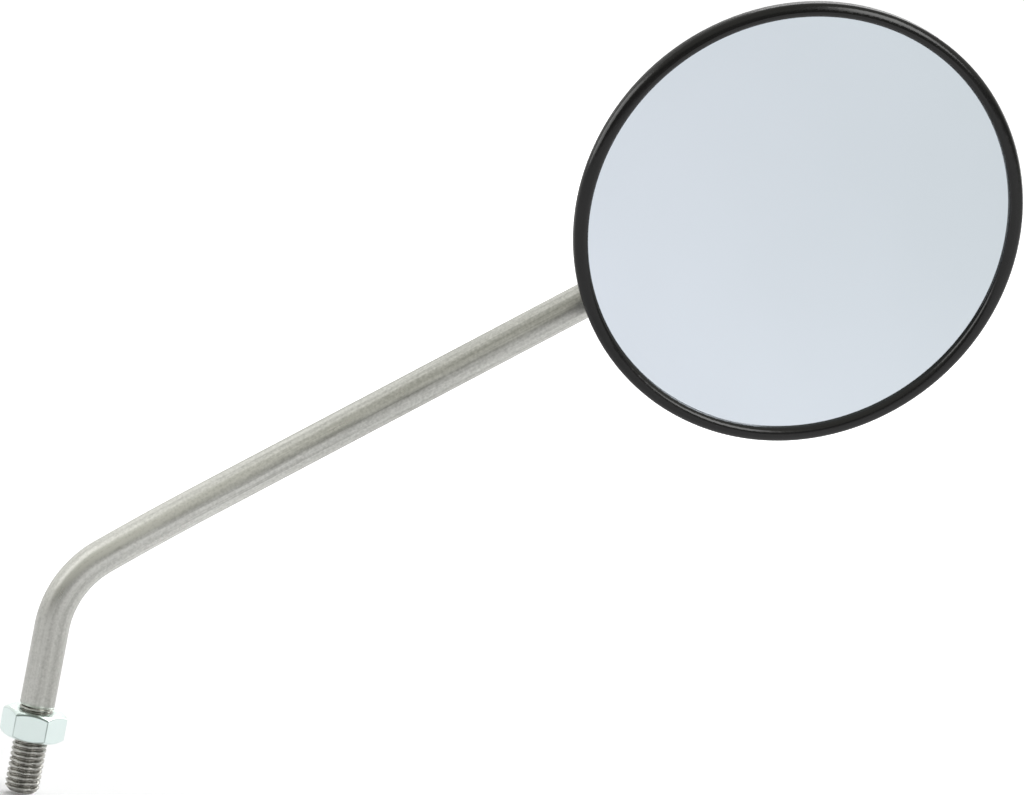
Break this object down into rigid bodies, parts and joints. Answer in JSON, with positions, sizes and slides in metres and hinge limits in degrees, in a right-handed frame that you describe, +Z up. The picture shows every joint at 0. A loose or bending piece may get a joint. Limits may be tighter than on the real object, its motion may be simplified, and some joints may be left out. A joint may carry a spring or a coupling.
{
  "type": "motorcycle mirror",
  "caption": "Round convex handlebar mirror in a black moulded head that turns on a ball joint, carried by a bent steel stem with a threaded foot and a lock nut.",
  "frame": {"origin": "on the thread's axis at the underside of the lock nut", "axes": "+Z up along the thread, the stem bends toward +X, the mirror faces -Y with its head turned 10 degrees round the upper leg"},
  "size_m": [0.2075, 0.0382, 0.2132],
  "materials": {
    "bright_steel": "bright drawn, satin",
    "zinc_plate": "bright zinc plate, bluish",
    "ball_steel": "ground",
    "black_shell": "fine grained",
    "black_rim": "semi gloss",
    "mirror": "silvered glass",
    "foam": "foamed",
    "cup_plastic": "moulded",
    "spring_steel": "blackened"
  },
  "bodies": {
    "stem": {"stem": "bright_steel"},
    "nut": {"lock_nut": "zinc_plate"},
    "ball": {"stem_ball": "ball_steel"},
    "cup": {"pressure_cup": "cup_plastic"},
    "head": {"housing": "black_shell", "rim_ring": "black_rim", "mirror_glass": "mirror", "glass_gasket": "foam", "disc_springs": "spring_steel", "retainer_plate": "zinc_plate", "retainer_screws": "zinc_plate"}
  },
  "joints": [
    {"name": "nut_turn", "type": "hinge", "parent": "stem", "child": "nut", "pos_m": [0, 0, 0.00325], "axis": [0, 0, 1], "continuous": true},
    {"name": "head_turn", "type": "hinge", "parent": "stem", "child": "ball", "pos_m": [0.14606, 0, 0.15104], "axis": [0.7912, 0, 0.6115], "continuous": true},
    {"name": "head_tilt", "type": "hinge", "parent": "ball", "child": "cup", "pos_m": [0.14606, 0, 0.15104], "axis": [-0.6022, -0.1736, 0.7792], "range_deg": [-8, 12]},
    {"name": "head_swing", "type": "hinge", "parent": "cup", "child": "head", "pos_m": [0.14606, 0, 0.15104], "axis": [-0.1062, 0.9848, 0.1374], "range_deg": [-10, 10]}
  ]
}
